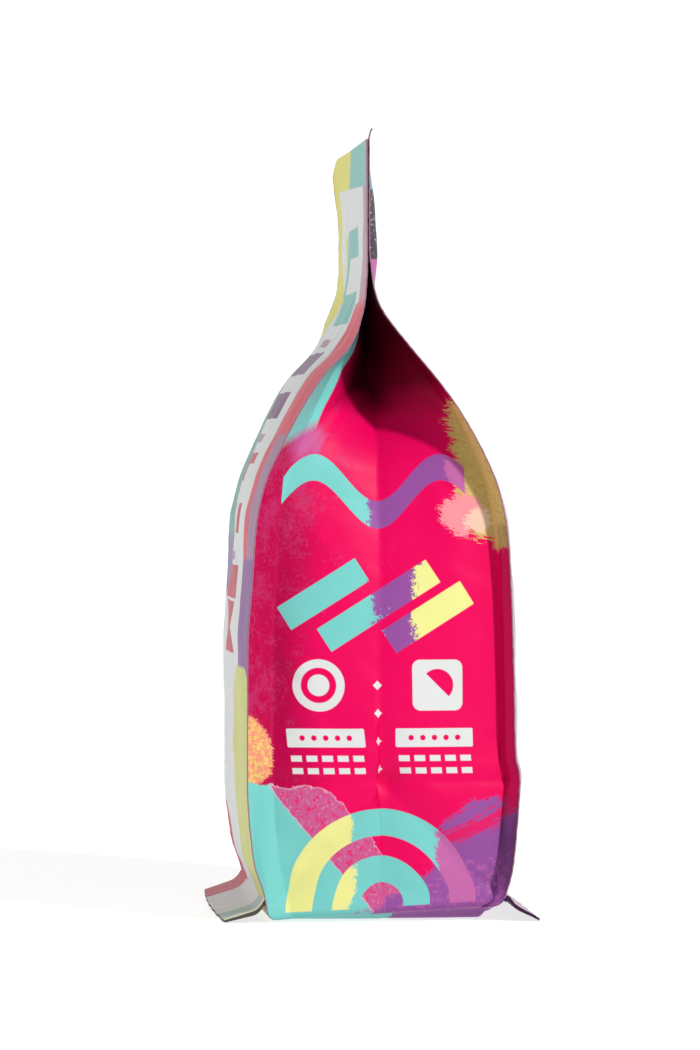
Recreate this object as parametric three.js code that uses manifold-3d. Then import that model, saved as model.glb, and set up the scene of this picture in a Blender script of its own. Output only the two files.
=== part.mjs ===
// A filled, heat-sealed coffee bag that stands on its own base: a flat-bottom pouch with side gussets.
// Its front faces -Y, its back +Y, and the two gussets +X and -X. Millimetres, +Z up, standing on z = 0.
import * as THREE from 'three';
import { mergeVertices } from 'three/addons/utils/BufferGeometryUtils.js';
import Module from 'manifold-3d';

// Driving dimensions
const TOP = 252;             // height of the sealed top edge
const HALF_WIDTH = 67;       // half the width of the front and back panels
const GUSSET_DEPTH = 86;     // distance between the front and back panels at the belly
const EDGE_PLY = 0.35;       // film between a panel's face and the gusset at the upright edges
const LIP = 0.1;             // share of half a gusset that the welded lip of an upright edge takes
const SEAL_GROOVE = 0.8;     // depth of the line between the two plies of the top seal
const SLOT_SHUT = [200, 224]; // the folded gusset's slot closes between these heights
const BASE_CREASE = 45.7;    // height of the level crease across each gusset
const CREASE_DEPTH = 0.9;    // how deep that crease is pressed in
const CREASE_REACH = 3;      // the film bends over this height above and below it
const BASE_FLAT = 24;        // the base lies flat this far out from the middle, along X
const BASE_LIFT = 2.6;       // how far the middle of a gusset's foot is lifted off the ground
const BASE_LIFT_LEAN = 2.4;  // the back corner is lifted this much more, the front corner this much less
const LIFT_TOP = 18;         // the lift fades out up to this height
const BASE_ROUND = 3.2;      // radius of the turn from the walls into the base
const FOOT_PLY = [1.8, 0.7]; // thickness of a foot fin where it leaves the wall and at its tip
const FOOT_SHORT = 0.4;      // a foot fin ends this much inside the panels' edges
const CORNER_ROUND = 5;      // drop of the rounded far corner of the top seal
const CORNER_START = 58;     // the rounding starts this far from the middle, along X
const CORNER_LOW = 225;      // and at this height
// The bent tip at the near back corner of the top seal; root is how far it reaches down into the seal
const EAR = { width: 5, height: 3, thick: 0.9, tipWidth: 1.2, root: 2, inset: 0.3 };

const BULGE_ROUNDNESS = 2.4; // how squarely a panel's bulge fills its width: 2 would be a parabola
const NECK_RIM = 0.1;        // share of half a panel over which the neck's bulge rises beside the edge
const LEAN_CURVE = 1.5;      // how the far end's lean grows from the middle outwards

const ROW_STEP = 5;          // height of one row of facets
const PANEL_STEPS = 18;      // facets across a panel
const GUSSET_STEPS = 14;     // facets across a gusset
const FOOT_STEPS = 14;       // facets along a foot fin
const EDGE_CROWD = 0.25;     // how much closer together the facets stand towards the upright edges
const SAME_POINT = 1e-4;     // points closer than this are one

// A smooth curve through a few points [height, value], which never swings past them
function profile(points) {
  const slopes = points.slice(1).map(([z, v], i) => (v - points[i][1]) / (z - points[i][0]));
  const tangents = points.map((_, i) => {
    if (i === 0) return slopes[0];
    if (i === points.length - 1) return slopes[i - 1];
    const [a, b] = [slopes[i - 1], slopes[i]];
    return a * b > 0 ? 2 * a * b / (a + b) : 0;
  });
  return (z) => {
    if (z <= points[0][0]) return points[0][1];
    if (z >= points[points.length - 1][0]) return points[points.length - 1][1];
    const i = points.findIndex((p) => z <= p[0]) - 1;
    const h = points[i + 1][0] - points[i][0];
    const t = (z - points[i][0]) / h;
    const rise = t * t * (3 - 2 * t);
    const bend = h * t * (1 - t) * ((1 - t) * tangents[i] - t * tangents[i + 1]);
    return points[i][1] * (1 - rise) + points[i + 1][1] * rise + bend;
  };
}

const smooth = THREE.MathUtils.smoothstep;

// The upright edges: how far to the front and back they stand at each height.
// The belly is 86 deep, the shoulder draws in above 110, and the neck is a flat seal that leans to the front.
const frontEdge = profile([[0, -36.5], [8, -37.6], [20, -41.2], [45, -43.2], [88, -43.1], [110, -41.6],
  [129, -40.2], [142, -37.2], [153, -32.2], [167, -24.7], [177, -17.9], [185, -10.4], [192, -7.2],
  [202, -5.1], [214, -4.6], [TOP, -4.7]]);
const backEdge = profile([[0, 39.5], [8, 41.2], [20, 43.2], [43, 45], [46, 45.1], [54, 43.7], [80, 43.1],
  [106, 42.3], [125, 41.1], [138, 38.6], [150, 33.9], [165, 25.5], [174, 19], [188, 7.4], [196, 1.3],
  [200, -0.8], [204, -2], [211, -3], [218, -3.5], [TOP, -3.6]]);

// How far the filling pushes out the middle of each wall
const frontBulge = profile([[0, 0], [8, 0.4], [25, 1.2], [45, 1.8], [75, 2.4], [110, 3], [150, 4], [181, 5.2],
  [195, 3], [205, 0.9], [216, 0], [TOP, 0]]);
const backBulge = profile([[0, 0], [8, 0.4], [30, 2.8], [70, 4.6], [110, 4.2], [150, 3.4], [181, 2.6],
  [204, 0.6], [225, 0], [TOP, 0]]);
const neckBulge = profile([[203, 0], [210, 1.8], [216, 2.8], [223, 2.5], [233, 1.8], [245, 0.2], [TOP, 0]]);

// How far in from the upright edges a gusset lies at the foot of its welded lips, and how much further in
// at its middle crease. Under the neck both fold right in. The crown is what the filling pushes out again.
const lipDepth = profile([[0, 3.4], [12, 5], [40, 6], [90, 6], [110, 6.4], [129, 7], [145, 8.4],
  [153, 10], [163, 12.5], [177, 16], [188, 20], [200, 28]]);
const creaseDepth = profile([[0, 0.2], [60, 0.6], [85, 1.6], [100, 3], [129, 5], [145, 7], [153, 9],
  [163, 14], [177, 20], [188, 20], [200, 13]]);
const crown = profile([[0, 2.2], [20, 4], [60, 4.8], [100, 4.6], [129, 3], [151, 1.5], [170, 0.4], [190, 0]]);

// How far back the far end of the bag leans: its shoulder swings to the front, its neck back, and the welded
// top curls to the front again
const farLean = profile([[150, 0], [165, -0.6], [183, -2.4], [195, -2.4], [207, 0.3], [216, 0.9], [228, 0.9],
  [240, 0], [TOP, -1.1]]);

// What the bag has lost in evenness: the curled, rounded far end of the top seal, the lifted ends of the base
function settle(x, y, z) {
  const curled = y + farLean(z) * Math.max(0, -x / HALF_WIDTH) ** LEAN_CURVE;
  const drop = CORNER_ROUND * (Math.max(0, -x - CORNER_START) / (HALF_WIDTH - CORNER_START)) ** 2;
  const end = smooth(Math.abs(x), BASE_FLAT, HALF_WIDTH);
  const lift = end * (BASE_LIFT + BASE_LIFT_LEAN * THREE.MathUtils.clamp(2 * y / GUSSET_DEPTH, -1, 1));
  const low = 1 - smooth(z, 0, LIFT_TOP);
  return new THREE.Vector3(x, curled, z - drop * smooth(z, CORNER_LOW, TOP) + lift * low);
}

// Inset of the lowest rows, where the walls turn into the base
const turnIn = (z) => z >= BASE_ROUND ? 0
  : BASE_ROUND - Math.sqrt(BASE_ROUND ** 2 - (BASE_ROUND - z) ** 2);

// A point of the front (side -1) or back (side 1) panel; u runs from -1 at the far edge to 1 at the near one
function panelPoint(side, u, z) {
  const middle = 1 - Math.abs(u) ** BULGE_ROUNDNESS;
  const besideEdge = Math.min(1, (1 - Math.abs(u)) / NECK_RIM);
  const y = side < 0 ? frontEdge(z) - frontBulge(z) * middle + turnIn(z)
    : backEdge(z) + backBulge(z) * middle + neckBulge(z) * Math.sin(besideEdge * Math.PI / 2) - turnIn(z);
  return settle((HALF_WIDTH - turnIn(z)) * u, y, z);
}

// A point of the near (side 1) or far (side -1) gusset; v runs from -1 at the front edge to 1 at the back one
function gussetPoint(side, v, z) {
  const front = frontEdge(z) + EDGE_PLY + turnIn(z);
  const back = backEdge(z) - EDGE_PLY - turnIn(z);
  const across = Math.abs(v);
  const y = (front + back) / 2 + v * (back - front) / 2;
  const inner = Math.min(1, across / (1 - LIP));
  const lip = Math.min(1, (1 - across) / LIP);
  const onCrease = Math.max(0, 1 - Math.abs(z - BASE_CREASE) / CREASE_REACH);
  const open = (lipDepth(z) + creaseDepth(z) * (1 - inner) - crown(z) * (1 - inner * inner)
    + CREASE_DEPTH * onCrease) * lip;
  const shut = smooth(z, ...SLOT_SHUT);
  const depth = open * (1 - shut) + SEAL_GROOVE * shut * (1 - across);
  return settle(side * (HALF_WIDTH - turnIn(z) - depth), y, z);
}

// Shared vertices and triangles to a closed solid
const wasm = await Module();
wasm.setup();

function toManifold(geometry) {
  const merged = mergeVertices(geometry, SAME_POINT);
  return new wasm.Manifold(new wasm.Mesh({
    numProp: 3,
    vertProperties: merged.attributes.position.array,
    triVerts: Uint32Array.from(merged.index.array),
  }));
}

function surface(points, faces) {
  const geometry = new THREE.BufferGeometry();
  const numbers = points.flatMap((p) => [p.x, p.y, p.z]);
  geometry.setAttribute('position', new THREE.Float32BufferAttribute(numbers, 3));
  geometry.setIndex(faces.flat());
  return geometry;
}

function toGeometry(solid) {
  const { vertProperties, triVerts } = solid.getMesh();
  const geometry = new THREE.BufferGeometry();
  geometry.setAttribute('position', new THREE.BufferAttribute(Float32Array.from(vertProperties), 3));
  geometry.setIndex(new THREE.BufferAttribute(Uint32Array.from(triVerts), 1));
  geometry.computeVertexNormals();
  return geometry;
}

// Places across a panel or a gusset, from -1 to 1, closer together towards the edges
function places(steps) {
  const even = Array.from({ length: steps + 1 }, (_, i) => -1 + 2 * i / steps);
  return even.map((t) => t * (1 + EDGE_CROWD - EDGE_CROWD * t * t));
}

// Heights of the rows that turn the walls into the base, as shares of the turn's radius
const TURN_HEIGHTS = [0, 0.1, 0.28, 0.6, 1];

const panelPlaces = places(PANEL_STEPS);
const gussetPlaces = places(GUSSET_STEPS);

// One ring of points round the bag at a height: front panel, near gusset, back panel, far gusset
function ring(z) {
  return [
    ...panelPlaces.map((u) => panelPoint(-1, u, z)),
    ...gussetPlaces.map((v) => gussetPoint(1, v, z)),
    ...panelPlaces.map((u) => panelPoint(1, -u, z)),
    ...gussetPlaces.map((v) => gussetPoint(-1, -v, z)),
  ];
}

// The base film, a grid of points between the lowest ring's front and back, with its gussets at the ends
function basePoints(row) {
  const front = row.slice(0, PANEL_STEPS + 1);
  const near = row.slice(PANEL_STEPS + 1, PANEL_STEPS + GUSSET_STEPS + 2);
  const back = row.slice(PANEL_STEPS + GUSSET_STEPS + 2, 2 * PANEL_STEPS + GUSSET_STEPS + 3).reverse();
  const far = row.slice(2 * PANEL_STEPS + GUSSET_STEPS + 3).reverse();
  return gussetPlaces.map((v, j) => [
    far[j],
    ...front.map((p, i) => new THREE.Vector3().lerpVectors(p, back[i], (v + 1) / 2)),
    near[j],
  ]);
}

// The faces of a wall round a stack of closed loops of points, each of the same count
function wallFaces(loops, count) {
  const faces = [];
  for (let r = 0; r < loops - 1; r += 1) {
    for (let i = 0; i < count; i += 1) {
      const next = (i + 1) % count;
      const [a, b, c, d] = [r * count + i, r * count + next, (r + 1) * count + next, (r + 1) * count + i];
      faces.push([a, b, c], [a, c, d]);
    }
  }
  return faces;
}

// The filled bag: rings joined into walls, closed by the base and by the welded top edge
function makeBody() {
  const heights = TURN_HEIGHTS.map((share) => share * BASE_ROUND);
  for (let z = BASE_ROUND + ROW_STEP; z < BASE_CREASE - 1; z += ROW_STEP) heights.push(z);
  const rows = Math.round((TOP - BASE_CREASE) / ROW_STEP);
  for (let i = 0; i <= rows; i += 1) heights.push(BASE_CREASE + (TOP - BASE_CREASE) * i / rows);

  const rings = heights.map(ring);
  const count = rings[0].length;
  const points = rings.flat();
  const faces = wallFaces(rings.length, count);

  const last = (rings.length - 1) * count;
  const outline = rings.at(-1).map((p) => new THREE.Vector2(p.x, p.y));
  for (const [a, b, c] of THREE.ShapeUtils.triangulateShape(outline, [])) {
    faces.push([last + a, last + b, last + c]);
  }

  const base = basePoints(rings[0]);
  const first = points.length;
  const columns = base[0].length;
  points.push(...base.flat());
  for (let j = 0; j < base.length - 1; j += 1) {
    for (let i = 0; i < columns - 1; i += 1) {
      const a = first + j * columns + i;
      faces.push([a, a + columns + 1, a + 1], [a, a + columns, a + columns + 1]);
    }
  }
  return toManifold(surface(points, faces));
}

// A strip between two edge lines, as thick as the lines' paired points say, closed on all six sides
function makeStrip(sections) {
  const count = sections[0].length;
  const faces = wallFaces(sections.length, count);
  const end = (sections.length - 1) * count;
  for (let i = 0; i < count / 2 - 1; i += 1) {
    const [a, b, c, d] = [i, i + 1, count - 2 - i, count - 1 - i];
    faces.push([a, c, b], [a, d, c], [end + a, end + b, end + c], [end + a, end + c, end + d]);
  }
  return toManifold(surface(sections.flat(), faces));
}

// The welded foot fins: the lower edges of the front and back panels, joined to the base film and bent out.
// The upper face is a curve of [distance from the middle, height], from inside the wall out to the fin's tip.
const FRONT_FOOT = {
  side: -1, wall: 37.4, tip: 50.2, wave: 1.6,
  face: [[33, 5.2], [37.4, 8], [38.3, 6.2], [40.4, 4.2], [44, 2.9], [50.2, 0.9]],
};
const BACK_FOOT = {
  side: 1, wall: 41, tip: 51.4, wave: 0.4,
  face: [[36, 5.4], [41, 8.4], [43.6, 5.6], [46.7, 3.6], [49.6, 2], [51.4, 0.8]],
};

function makeFoot({ side, wall, tip, wave, face }) {
  const upper = profile(face);
  const reach = face.map(([out]) => out);
  const root = reach[0];
  const place = (x, u, out, height) => {
    const waved = out + wave * (1 - u * u) * (out - root) / (tip - root);
    return new THREE.Vector3(x, side * waved, Math.max(0, height));
  };
  const sections = [];
  for (let i = 0; i <= FOOT_STEPS; i += 1) {
    const u = -side * (-1 + 2 * i / FOOT_STEPS);
    const x = (HALF_WIDTH - FOOT_SHORT) * u;
    const ply = (out) => THREE.MathUtils.lerp(...FOOT_PLY, (out - wall) / (tip - wall));
    const over = reach.map((out) => place(x, u, out, upper(out)));
    const under = reach.map((out) => place(x, u, out, upper(out) - ply(out)));
    sections.push([...over, ...under.reverse()]);
  }
  return makeStrip(sections);
}

// The bent tip that stands up at the near back corner of the top seal
function makeEar() {
  const outline = new THREE.Shape([[0, -EAR.root], [EAR.width, -EAR.root], [EAR.width, EAR.height],
    [EAR.width - EAR.tipWidth, EAR.height]].map(([x, y]) => new THREE.Vector2(x, y)));
  const geometry = new THREE.ExtrudeGeometry(outline, { depth: EAR.thick, bevelEnabled: false });
  geometry.rotateX(Math.PI / 2);
  geometry.translate(HALF_WIDTH - EAR.inset - EAR.width, backEdge(TOP), TOP);
  geometry.deleteAttribute('normal');
  geometry.deleteAttribute('uv');
  return toManifold(geometry);
}

const film = new THREE.MeshStandardMaterial({ color: 0xd8144f, roughness: 0.45, metalness: 0 });

const solid = makeBody().add(makeFoot(FRONT_FOOT)).add(makeFoot(BACK_FOOT)).add(makeEar());
const bag = new THREE.Mesh(toGeometry(solid), film);
bag.name = 'bag';

const group = new THREE.Group();
group.add(bag);
export default group;
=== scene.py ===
import math

import bpy
import numpy as np
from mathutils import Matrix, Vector


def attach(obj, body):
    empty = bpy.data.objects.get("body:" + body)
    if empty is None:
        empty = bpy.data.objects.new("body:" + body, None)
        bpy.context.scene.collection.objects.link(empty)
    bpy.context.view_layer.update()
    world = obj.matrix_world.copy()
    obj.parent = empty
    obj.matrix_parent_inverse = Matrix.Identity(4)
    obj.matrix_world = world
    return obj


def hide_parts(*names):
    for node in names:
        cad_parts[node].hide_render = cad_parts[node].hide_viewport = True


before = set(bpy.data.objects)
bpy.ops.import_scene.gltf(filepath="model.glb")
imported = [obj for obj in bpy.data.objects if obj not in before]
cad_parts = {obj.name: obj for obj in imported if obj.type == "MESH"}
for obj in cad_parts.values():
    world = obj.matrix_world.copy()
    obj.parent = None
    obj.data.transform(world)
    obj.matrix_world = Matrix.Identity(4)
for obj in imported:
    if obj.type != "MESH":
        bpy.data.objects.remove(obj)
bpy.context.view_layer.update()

# The pouch's shape: a front panel (-Y), a back panel (+Y) and two gussets (+X, -X) of one laminated film, filled
# and heat-sealed along four upright edges and along the top. Distances are millimetres until the mesh is made,
# which is in metres.
MM = 0.001
TOP, HALF_WIDTH, GUSSET_DEPTH = 252.0, 67.0, 86.0
EDGE_PLY = 0.35  # a gusset's edge lies this far inside the panel's face
BASE_ROUND = 3.2  # radius of the turn from the walls into the base
BASE_CREASE = 45.7  # height of the level crease across each gusset
CORNER_DROP, CORNER_START = 5, 48  # the far top corner is rounded off from here outwards
END_LIFT, BACK_LIFT = 2.6, 2.4  # the base's ends stand off the floor, more so at the back
WELD_BAND = 0.065  # the welded band, as a share of half a gusset's width
LIP_AT_BACK, LIP_AT_FRONT = 0.09, 0.19  # where the step down from the band ends, as such shares
BAND_LEAN = 0.38  # the share of the whole step that the band leans in
NECK_TUCK = 0.8  # how far the folded gusset stands in at the neck


def profile(points):
    """A smooth curve through a few points (height, value), which never swings past them."""
    z0, v0 = np.array(points, float).T
    run = np.diff(z0)
    slope = np.diff(v0) / run
    total = slope[:-1] + slope[1:]
    alike = slope[:-1] * slope[1:] > 0
    inner = np.where(alike, 2 * slope[:-1] * slope[1:] / np.where(alike, total, 1), 0)
    tangent = np.concatenate([slope[:1], inner, slope[-1:]])

    def curve(z):
        z = np.clip(z, z0[0], z0[-1])
        i = np.clip(np.searchsorted(z0, z) - 1, 0, len(run) - 1)
        t = (z - z0[i]) / run[i]
        rise = t * t * (3 - 2 * t)
        bend = run[i] * t * (1 - t) * ((1 - t) * tangent[i] - t * tangent[i + 1])
        return v0[i] * (1 - rise) + v0[i + 1] * rise + bend

    return curve


def smooth(x, low, high):
    """A soft step from 0 at low to 1 at high."""
    t = np.clip((x - low) / (high - low), 0, 1)
    return t * t * (3 - 2 * t)


# Profiles over the height: where the upright edges lie, how far the panels bulge past them, how deep the gusset's
# lip, its folded-in middle and its filled crown are, and how far the far end leans
front_edge = profile([(0, -36.5), (8, -37.6), (20, -41.2), (45, -43.2), (88, -43.1), (110, -41.6),
                      (129, -40.2), (142, -37.2), (153, -32.2), (167, -24.7), (177, -17.9), (185, -10.4),
                      (192, -7.2), (202, -5.1), (214, -4.6), (TOP, -4.7)])
back_edge = profile([(0, 39.5), (8, 41.2), (20, 43.2), (43, 45), (46, 45.1), (54, 43.7), (80, 43.1),
                     (106, 42.3), (125, 41.1), (138, 38.6), (150, 33.9), (165, 25.5), (174, 19), (188, 7.4),
                     (196, 1.3), (200, -0.8), (204, -2), (211, -3), (218, -3.5), (TOP, -3.6)])
front_bulge = profile([(0, 0), (8, 0.4), (25, 1.2), (45, 1.8), (75, 2.4), (110, 3), (150, 4), (181, 5.2),
                       (195, 3), (205, 0.9), (216, 0), (TOP, 0)])
back_bulge = profile([(0, 0), (8, 0.4), (30, 2.8), (70, 4.6), (110, 4.2), (150, 3.4), (181, 2.6), (204, 0.6),
                      (225, 0), (TOP, 0)])
neck_bulge = profile([(203, 0), (210, 1.8), (216, 2.8), (223, 2.5), (233, 1.8), (245, 0.2), (TOP, 0)])
lip_depth = profile([(0, 3.4), (12, 5), (40, 6), (90, 6), (110, 6.4), (129, 7), (145, 8.4), (153, 10),
                     (163, 12.5), (177, 16), (188, 20), (200, 28)])
crease_depth = profile([(0, 0.2), (60, 0.6), (85, 1.6), (100, 3), (129, 5), (145, 7), (153, 9), (163, 14),
                        (177, 20), (188, 20), (200, 13)])
crown = profile([(0, 2.2), (20, 4), (60, 4.8), (100, 4.6), (129, 3), (151, 1.5), (170, 0.4), (190, 0)])
far_lean = profile([(150, 0), (165, -0.6), (183, -2.4), (195, -2.4), (207, 0.3), (216, 0.9), (228, 0.9),
                    (240, 0), (TOP, -1.1)])


def turn_in(z):
    """How far the rounded foot of a wall stands in."""
    low = np.clip(BASE_ROUND - z, 0, BASE_ROUND)
    return BASE_ROUND - np.sqrt(BASE_ROUND ** 2 - low ** 2)


def settle(x, y, z):
    """The far end's lean, the drop of its rounded top corner and the lifted ends of the base."""
    curled = y + far_lean(z) * np.maximum(0, -x / HALF_WIDTH) ** 1.5
    drop = CORNER_DROP * (np.maximum(0, -x - CORNER_START) / (HALF_WIDTH - CORNER_START)) ** 2
    lift = smooth(np.abs(x), 24, HALF_WIDTH) * (END_LIFT + BACK_LIFT * np.clip(2 * y / GUSSET_DEPTH, -1, 1))
    return np.stack([x, curled, z - drop * smooth(z, 225, TOP) + lift * (1 - smooth(z, 0, 18))], axis=-1)


def panel_points(side, u, z):
    """The front (side -1) or back (side 1) panel; u runs from -1 at the far edge to 1 at the near one."""
    middle = 1 - np.abs(u) ** 2.4
    if side < 0:
        y = front_edge(z) - front_bulge(z) * middle + turn_in(z)
    else:
        beside = np.minimum(1, (1 - np.abs(u)) / 0.1)
        y = back_edge(z) + back_bulge(z) * middle + neck_bulge(z) * np.sin(beside * math.pi / 2) - turn_in(z)
    return settle((HALF_WIDTH - turn_in(z)) * u, y, z)


def gusset_points(side, v, z):
    """The near (side 1) or far (side -1) gusset; v runs from -1 at the front edge to 1 at the back one."""
    front = front_edge(z) + EDGE_PLY + turn_in(z)
    back = back_edge(z) - EDGE_PLY - turn_in(z)
    across = np.abs(v)
    y = (front + back) / 2 + v * (back - front) / 2
    # From the edge inwards: the welded band, which leans in a little, then a step down to the face, steep at
    # the back edge and soft at the front one, where it is also shallower low down
    foot = np.where(v > 0, LIP_AT_BACK, LIP_AT_FRONT)
    step = BAND_LEAN + (1 - BAND_LEAN) * np.minimum(1, (1 - across - WELD_BAND) / (foot - WELD_BAND))
    lip = np.where(1 - across < WELD_BAND, BAND_LEAN * (1 - across) / WELD_BAND, step)
    inner = np.minimum(1, across / (1 - foot))
    low_front = 1 - 0.4 * (v < 0) * (1 - smooth(z, 50, 80))
    face_depth = lip_depth(z) * low_front + crease_depth(z) * (1 - inner) - crown(z) * (1 - inner ** 2)
    open_depth = face_depth * lip
    shut = smooth(z, 200, 224)
    depth = open_depth * (1 - shut) + NECK_TUCK * shut * (1 - across)
    return settle(side * (HALF_WIDTH - turn_in(z) - depth), y, z)


# The pouch's relief: what production, packing and handling have pressed into the film, which are creases, the
# seams' edges, soft dents over the filling and short wrinkles. Heights are outwards positive and mostly under a
# millimetre; the low corners of a gusset fold out by up to one and a half.
random = np.random.default_rng(7)
SEAM_INSIDE, SEAL_HEIGHT = 5.2, 239  # the upright seams' inner edges and the lower edge of the top seal
CREASE_REACH, CREASE_LOW = 36.0, 8  # the slanted creases run from the level one down to here
CREASE_START = BASE_CREASE - 0.5
ACROSS_U, ACROSS_Z = 0.718, 0.695  # the direction square to the slanted creases


def notch(distance, depth, width):
    """A pressed-in line with a slightly raised rim on both sides."""
    d = distance / width
    return -depth * (1 - 0.8 * d * d) * np.exp(-d * d)


def crease(distance, depth, width):
    """A folded line: the film dips to it from both sides and turns sharply there."""
    return -depth * np.exp(-np.abs(distance) / width)


def lumps(u, z, size, height, waves=14):
    """Soft uneven dents of about the given size."""
    total = np.zeros_like(u + z)
    for _ in range(waves):
        angle, phase = random.uniform(0, math.pi), random.uniform(0, 2 * math.pi)
        k = 2 * math.pi / (size * random.uniform(0.7, 1.8))
        total = total + np.sin(k * (u * math.cos(angle) + z * math.sin(angle)) + phase)
    return height * total / math.sqrt(waves / 2)


def wrinkles(u, z, rows):
    """Single wrinkles: u and z of the middle, angle from level, half length, half width and height."""
    total = np.zeros_like(u + z)
    for cu, cz, angle, half, width, height in rows:
        a = math.radians(angle)
        along = (u - cu) * math.cos(a) + (z - cz) * math.sin(a)
        across = -(u - cu) * math.sin(a) + (z - cz) * math.cos(a)
        total = total + height * np.exp(-(across / width) ** 2) * np.clip(1 - (along / half) ** 2, 0, 1)
    return total


def segment(u, z, a, b):
    """Distance from the line between a and b, large beyond its ends."""
    (au, az), (bu, bz) = a, b
    length = math.hypot(bu - au, bz - az)
    along = ((u - au) * (bu - au) + (z - az) * (bz - az)) / length
    across = ((u - au) * (az - bz) + (z - az) * (bu - au)) / length
    beyond = np.maximum(0, np.maximum(-along, along - length))
    return np.abs(across) + 0.6 * beyond


def panel_relief(side, u, z):
    """Relief of the front (side -1) or back panel; u runs from -1 to 1 across it."""
    x = HALF_WIDTH * u
    inside = HALF_WIDTH - np.abs(x)
    free = smooth(inside, 3, 12) * smooth(z, 4, 14) * (1 - smooth(z, 228, 240))
    out = lumps(x, z, 26, 0.16) * free + lumps(x, z, 9, 0.035) * free
    out = out + notch(inside - SEAM_INSIDE, 0.16, 0.6) * (1 - smooth(z, 196, 205))
    out = out + notch(z - SEAL_HEIGHT, 0.14, 0.5) * smooth(inside, 0, 3)
    rows = [(-30, 196, 62, 15, 1.6, 0.45), (-12, 199, 78, 13, 1.8, -0.4), (9, 197, 96, 14, 1.7, 0.4),
            (31, 194, 116, 16, 1.8, 0.45), (48, 188, 128, 15, 1.7, -0.4), (-47, 187, 50, 16, 1.9, -0.4),
            (-52, 30, 124, 14, 2.2, 0.4), (50, 28, 58, 15, 2.2, 0.4), (14, 16, 3, 26, 2, -0.3),
            (-22, 60, 152, 22, 3, 0.3), (26, 128, 24, 26, 3.4, 0.3), (-40, 150, 38, 20, 2.6, 0.35)]
    rows = [(cu * side, cz + 2 * side, angle if side < 0 else 180 - angle, half, width, height)
            for cu, cz, angle, half, width, height in rows]
    return out + wrinkles(x, z, rows) * free


def gusset_relief(side, u, z):
    """Relief of the near (side 1) or far gusset; u is the film's own distance from the middle crease."""
    free = smooth(40 - np.abs(u), 0, 9) * smooth(z, 2, 10) * (1 - smooth(z, 196, 210))
    out = lumps(u, z, 24, 0.2) * free + lumps(u, z, 8, 0.045) * free
    out = out + crease(u, 0.5, 3.5) * smooth(z, 3, 12) * (1 - smooth(z, 180, 200))
    low = smooth(z, 1, 5) * smooth(46 - np.abs(u), 0, 4)
    out = out + crease(z - BASE_CREASE, 1.0, 3.4) * low
    for tilt in (-1, 1):
        slanted = segment(u, z, (0, CREASE_START), (tilt * CREASE_REACH, CREASE_LOW))
        out = out + crease(slanted, 0.95, 3.2) * low
        outside = ACROSS_U * tilt * u + ACROSS_Z * (z - CREASE_START)
        out = out + 0.15 * np.clip(outside, 0, 10) * (1 - smooth(z, 45, 60)) * smooth(46 - np.abs(u), 0, 6)
    out = out + notch(segment(u, z, (3, 16), (2.6, 3)), 0.4, 0.5)
    rows = [(-27, 22, 60, 14, 1.5, 0.4), (20, 20, 140, 12, 1.6, -0.4), (-10, 30, 20, 12, 1.8, 0.4),
            (31, 15, 150, 9, 1.2, 0.35), (-33, 80, 158, 11, 1.8, -0.8), (-32, 87, 150, 11, 1.8, 0.45),
            (36, 62, 104, 16, 1.6, 0.3), (-33, 120, 70, 18, 1.8, 0.3), (24, 136, 118, 18, 2.2, -0.3),
            (-18, 158, 62, 16, 2, 0.35), (10, 96, 172, 18, 2.6, 0.2), (-14, 66, 12, 16, 2.4, -0.2)]
    rows = [(cu * side, cz, angle if side > 0 else 180 - angle, half, width, height)
            for cu, cz, angle, half, width, height in rows]
    return out + wrinkles(u, z, rows) * free


# The pouch's film as one closed skin: rows of points that go once round the bag, with the base film and the
# sealed top edge spanned between the walls. A UV map holds the film's own coordinates in metres: across from the
# middle of each wall, and up along it.
PANEL_STEPS, GUSSET_STEPS = 72, 96
SAG_HEIGHT, SAG_EDGE = 0.15, 11  # the base film hangs to just over the floor, from this far inside its ends
FRONT_INK, GUSSET_INK, BACK_INK, BASE_INK, CUT_INK = range(5)
turn_rows = BASE_ROUND * np.array([0, 0.06, 0.16, 0.3, 0.5, 0.74, 1])
rows_below = np.linspace(BASE_ROUND, BASE_CREASE, 35)[1:]
rows_above = np.linspace(BASE_CREASE, TOP, 151)[1:]
heights = np.concatenate([turn_rows, rows_below, rows_above])[:, None]


def places(steps):
    """Places from -1 to 1 across a wall, closer together at its edges."""
    even = np.linspace(-1, 1, steps + 1)
    return (even * (1.3 - 0.3 * even ** 2))[None, :]


def outward(points, away):
    """Unit normals of a grid of points, turned to the side that away gives."""
    across, up = np.gradient(points, axis=1), np.gradient(points, axis=0)
    normal = np.cross(across, up)
    normal /= np.maximum(1e-9, np.linalg.norm(normal, axis=-1, keepdims=True))
    return normal * np.sign((normal * away).sum(axis=-1, keepdims=True).mean())


def film_up(points):
    """Height along the film, measured up its middle column."""
    middle = points[:, points.shape[1] // 2]
    steps = np.linalg.norm(np.diff(middle, axis=0), axis=-1)
    height = np.concatenate([[0], np.cumsum(steps)])
    return np.broadcast_to(height[:, None], points.shape[:2])


def film_across(points):
    """Distance along the film from the middle of its wall."""
    steps = np.linalg.norm(np.diff(points[..., :2], axis=1), axis=-1)
    total = np.concatenate([np.zeros((len(points), 1)), np.cumsum(steps, axis=1)], axis=1)
    return total - total[:, [total.shape[1] // 2]]


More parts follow.
